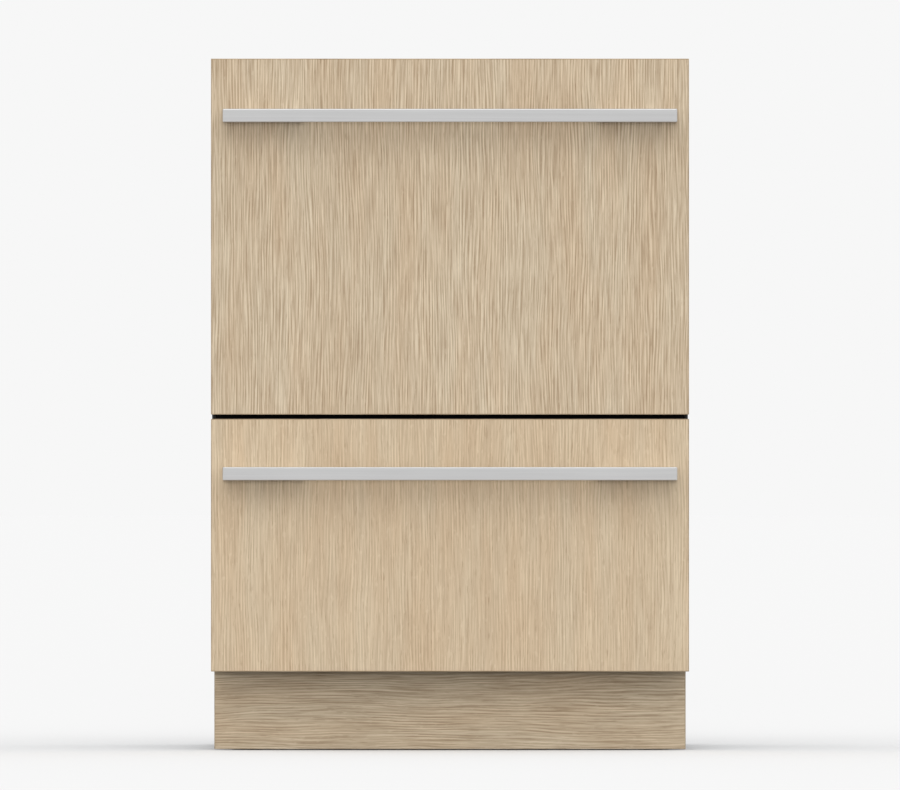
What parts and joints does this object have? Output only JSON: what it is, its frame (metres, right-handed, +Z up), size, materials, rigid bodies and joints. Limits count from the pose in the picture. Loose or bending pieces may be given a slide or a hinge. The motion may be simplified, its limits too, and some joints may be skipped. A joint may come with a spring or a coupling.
{
  "type": "dishwasher drawer",
  "caption": "Built-in dishwasher with an upper and a lower pull-out washing drawer behind oak fronts with bar handles, over a recessed oak plinth.",
  "frame": {"origin": "on the floor, below the middle of the whole machine's box", "axes": "+Z up, -Y towards the drawer fronts and the user, +X to the right for someone facing the fronts"},
  "size_m": [0.597, 0.609, 0.864],
  "materials": {
    "oak_panel": "clear matt lacquer over upright straight-grained oak veneer",
    "oak_plinth": "clear matt lacquer over level-grained oak veneer",
    "handle_steel": "fine brushed along the bar",
    "zinc_sheet": "zinc coated sheet",
    "black_sheet": "black powder coat",
    "runner_steel": "bright zinc",
    "stainless": "satin stainless",
    "tub_plastic": "moulded grey polypropylene",
    "lid_plastic": "moulded pale grey polypropylene",
    "trim_plastic": "moulded mid grey plastic",
    "dark_plastic": "moulded dark grey plastic",
    "grip_plastic": "moulded blue grey plastic",
    "service_plastic": "moulded white plastic",
    "coated_wire": "nylon coated steel wire",
    "seal_rubber": "matt black rubber"
  },
  "bodies": {
    "chassis": {"left_side_panel": "zinc_sheet", "right_side_panel": "zinc_sheet", "rear_panel": "zinc_sheet", "top_panel": "zinc_sheet", "top_rail": "black_sheet", "centre_rail": "black_sheet", "base_tray": "dark_plastic", "side_trims": "seal_rubber", "toe_kick": "oak_plinth", "toe_kick_brackets": "zinc_sheet", "inlet_valve": "service_plastic", "drain_outlet": "service_plastic", "mains_box": "dark_plastic", "runner_channels": "runner_steel", "lid_actuators": "dark_plastic"},
    "front_left_foot": {"front_left_foot": "runner_steel"},
    "front_right_foot": {"front_right_foot": "runner_steel"},
    "rear_left_foot": {"rear_left_foot": "runner_steel"},
    "rear_right_foot": {"rear_right_foot": "runner_steel"},
    "upper_lid": {"upper_lid": "lid_plastic", "upper_lid_seal": "seal_rubber"},
    "upper_drawer": {"upper_front_panel": "oak_panel", "upper_handle": "handle_steel", "upper_front_tray": "black_sheet", "upper_control_housing": "dark_plastic", "upper_tub": "tub_plastic", "upper_filter_plate": "stainless", "upper_rack": "coated_wire", "upper_cutlery_basket": "trim_plastic", "upper_dispenser": "trim_plastic", "upper_wash_motor": "dark_plastic", "upper_runner_inners": "runner_steel"},
    "upper_runner_middles": {"upper_runner_middles": "runner_steel"},
    "upper_power_key": {"upper_power_key": "stainless"},
    "upper_spray_arm": {"upper_spray_arm": "trim_plastic"},
    "upper_drain_filter": {"upper_drain_filter": "grip_plastic"},
    "upper_fold_tines": {"upper_fold_tines": "coated_wire"},
    "upper_dispenser_door": {"upper_dispenser_door": "trim_plastic"},
    "upper_rinse_cap": {"upper_rinse_cap": "grip_plastic"},
    "lower_lid": {"lower_lid": "lid_plastic", "lower_lid_seal": "seal_rubber"},
    "lower_drawer": {"lower_front_panel": "oak_panel", "lower_handle": "handle_steel", "lower_front_tray": "black_sheet", "lower_control_housing": "dark_plastic", "lower_tub": "tub_plastic", "lower_filter_plate": "stainless", "lower_rack": "coated_wire", "lower_cutlery_basket": "trim_plastic", "lower_dispenser": "trim_plastic", "lower_wash_motor": "dark_plastic", "lower_runner_inners": "runner_steel"},
    "lower_runner_middles": {"lower_runner_middles": "runner_steel"},
    "lower_power_key": {"lower_power_key": "stainless"},
    "lower_spray_arm": {"lower_spray_arm": "trim_plastic"},
    "lower_drain_filter": {"lower_drain_filter": "grip_plastic"},
    "lower_fold_tines": {"lower_fold_tines": "coated_wire"},
    "lower_dispenser_door": {"lower_dispenser_door": "trim_plastic"},
    "lower_rinse_cap": {"lower_rinse_cap": "grip_plastic"},
    "upper_cup_shelf": {"upper_cup_shelf": "trim_plastic"}
  },
  "joints": [
    {"name": "upper_drawer_slide", "type": "slide", "parent": "chassis", "child": "upper_drawer", "axis": [0, -1, 0], "range_m": [0, 0.48]},
    {"name": "upper_runner_slide", "type": "slide", "parent": "chassis", "child": "upper_runner_middles", "axis": [0, -1, 0], "range_m": [0, 0.24]},
    {"name": "upper_lid_lift", "type": "slide", "parent": "chassis", "child": "upper_lid", "axis": [0, 0, 1], "range_m": [0, 0.01]},
    {"name": "upper_power_key_press", "type": "slide", "parent": "upper_drawer", "child": "upper_power_key", "axis": [0, 0, -1], "range_m": [0, 0.001], "stiffness_N_per_m": 800},
    {"name": "upper_spray_spin", "type": "hinge", "parent": "upper_drawer", "child": "upper_spray_arm", "pos_m": [0, 0.0402, 0.50815], "axis": [0, 0, 1], "continuous": true},
    {"name": "upper_filter_turn", "type": "hinge", "parent": "upper_drawer", "child": "upper_drain_filter", "pos_m": [0, -0.0558, 0.49315], "axis": [0, 0, 1], "range_deg": [0, 90]},
    {"name": "upper_tine_fold", "type": "hinge", "parent": "upper_drawer", "child": "upper_fold_tines", "pos_m": [-0.04424, -0.05104, 0.5375], "axis": [1, 0, 0], "range_deg": [0, 75]},
    {"name": "upper_dispenser_slide", "type": "slide", "parent": "upper_drawer", "child": "upper_dispenser_door", "axis": [1, 0, 0], "range_m": [0, 0.07]},
    {"name": "upper_rinse_cap_turn", "type": "hinge", "parent": "upper_drawer", "child": "upper_rinse_cap", "pos_m": [0.0275, -0.1926, 0.72], "axis": [0, 1, 0], "range_deg": [0, 90]},
    {"name": "lower_drawer_slide", "type": "slide", "parent": "chassis", "child": "lower_drawer", "axis": [0, -1, 0], "range_m": [0, 0.48]},
    {"name": "lower_runner_slide", "type": "slide", "parent": "chassis", "child": "lower_runner_middles", "axis": [0, -1, 0], "range_m": [0, 0.24]},
    {"name": "lower_lid_lift", "type": "slide", "parent": "chassis", "child": "lower_lid", "axis": [0, 0, 1], "range_m": [0, 0.01]},
    {"name": "lower_power_key_press", "type": "slide", "parent": "lower_drawer", "child": "lower_power_key", "axis": [0, 0, -1], "range_m": [0, 0.001], "stiffness_N_per_m": 800},
    {"name": "lower_spray_spin", "type": "hinge", "parent": "lower_drawer", "child": "lower_spray_arm", "pos_m": [0, 0.0402, 0.182], "axis": [0, 0, 1], "continuous": true},
    {"name": "lower_filter_turn", "type": "hinge", "parent": "lower_drawer", "child": "lower_drain_filter", "pos_m": [0, -0.0558, 0.167], "axis": [0, 0, 1], "range_deg": [0, 90]},
    {"name": "lower_tine_fold", "type": "hinge", "parent": "lower_drawer", "child": "lower_fold_tines", "pos_m": [-0.04424, -0.05104, 0.21135], "axis": [1, 0, 0], "range_deg": [0, 75]},
    {"name": "lower_dispenser_slide", "type": "slide", "parent": "lower_drawer", "child": "lower_dispenser_door", "axis": [1, 0, 0], "range_m": [0, 0.07]},
    {"name": "lower_rinse_cap_turn", "type": "hinge", "parent": "lower_drawer", "child": "lower_rinse_cap", "pos_m": [0.0275, -0.1926, 0.29315], "axis": [0, 1, 0], "range_deg": [0, 90]},
    {"name": "upper_cup_shelf_fold", "type": "hinge", "parent": "upper_drawer", "child": "upper_cup_shelf", "pos_m": [-0.2403, 0.0402, 0.65745], "axis": [0, -1, 0], "range_deg": [0, 80]},
    {"name": "front_left_foot_extend", "type": "slide", "parent": "chassis", "child": "front_left_foot", "axis": [0, 0, -1], "range_m": [0, 0.045]},
    {"name": "front_right_foot_extend", "type": "slide", "parent": "chassis", "child": "front_right_foot", "axis": [0, 0, -1], "range_m": [0, 0.045]},
    {"name": "rear_left_foot_extend", "type": "slide", "parent": "chassis", "child": "rear_left_foot", "axis": [0, 0, -1], "range_m": [0, 0.045]},
    {"name": "rear_right_foot_extend", "type": "slide", "parent": "chassis", "child": "rear_right_foot", "axis": [0, 0, -1], "range_m": [0, 0.045]}
  ],
  "couplings": [
    {"joint": "upper_runner_slide", "follows": "upper_drawer_slide", "ratio": 0.5},
    {"joint": "lower_runner_slide", "follows": "lower_drawer_slide", "ratio": 0.5}
  ]
}
